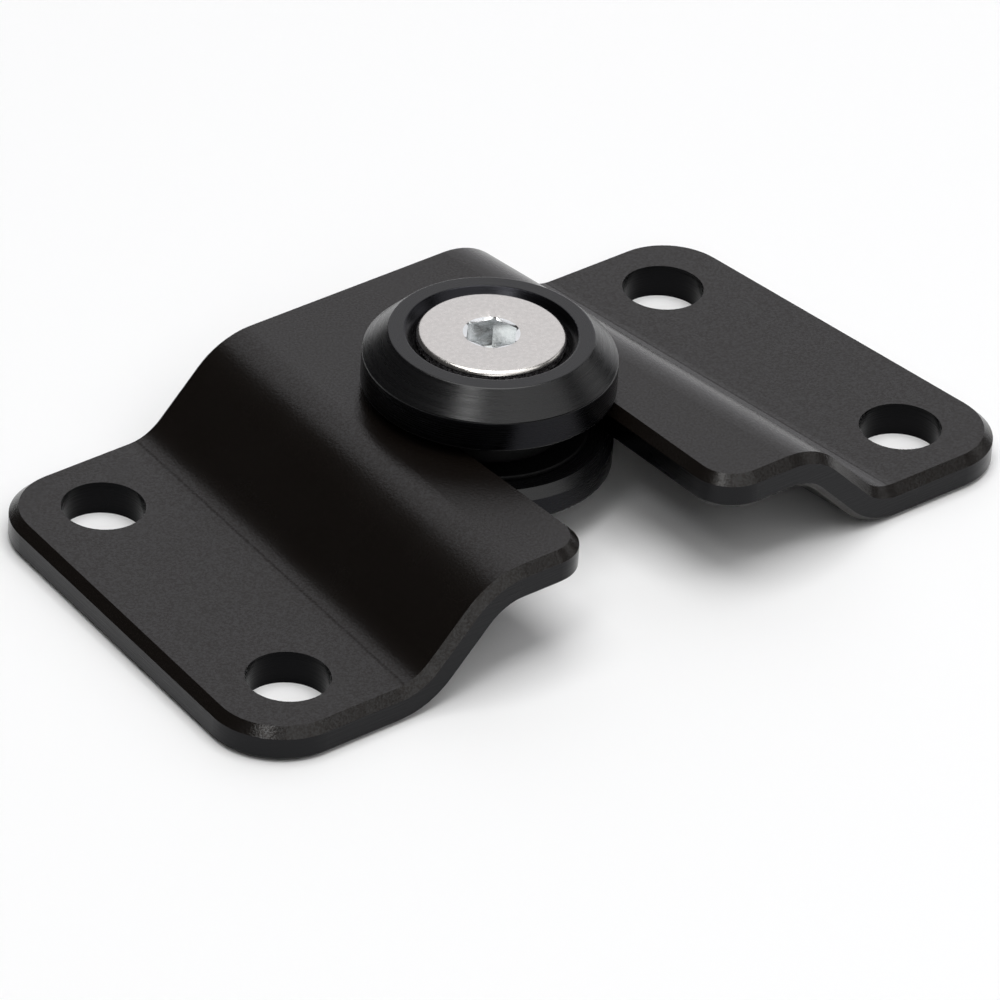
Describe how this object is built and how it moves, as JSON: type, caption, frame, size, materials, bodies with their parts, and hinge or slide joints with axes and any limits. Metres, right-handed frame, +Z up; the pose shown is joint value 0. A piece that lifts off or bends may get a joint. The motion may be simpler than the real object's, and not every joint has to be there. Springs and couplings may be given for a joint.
{
  "type": "bow roller bracket",
  "caption": "Low bent-plate deck bracket with splayed screw-down feet and an open-fronted slot, in which a bevelled bobbin roller turns and slides.",
  "frame": {"origin": "middle of the footprint on the mounting plane, 1.4 mm in front of the roller axis", "axes": "+X across the two feet, +Y towards the closed back edge (the slot opens to -Y), +Z up from the mounting plane along the roller axis"},
  "size_m": [0.0802, 0.042, 0.0158],
  "materials": {
    "plate_anodised": "satin black anodised over a fine blasted grain",
    "turned_anodised": "satin black anodised, turned",
    "stainless": "bright stainless",
    "acetal": "smooth black acetal"
  },
  "bodies": {
    "bracket": {"bracket": "plate_anodised"},
    "carriage": {"slot_bush": "acetal", "upper_wear_washer": "acetal", "lower_wear_washer": "acetal"},
    "roller": {"roller_cap": "turned_anodised", "roller_base": "turned_anodised", "barrel_nut": "stainless", "pivot_screw": "stainless"}
  },
  "joints": [
    {"name": "slot_slide", "type": "slide", "parent": "bracket", "child": "carriage", "axis": [0, -1, 0], "range_m": [0, 0.015]},
    {"name": "roller_spin", "type": "hinge", "parent": "carriage", "child": "roller", "pos_m": [0, 0.0014, 0.0087], "axis": [0, 0, 1], "continuous": true}
  ]
}
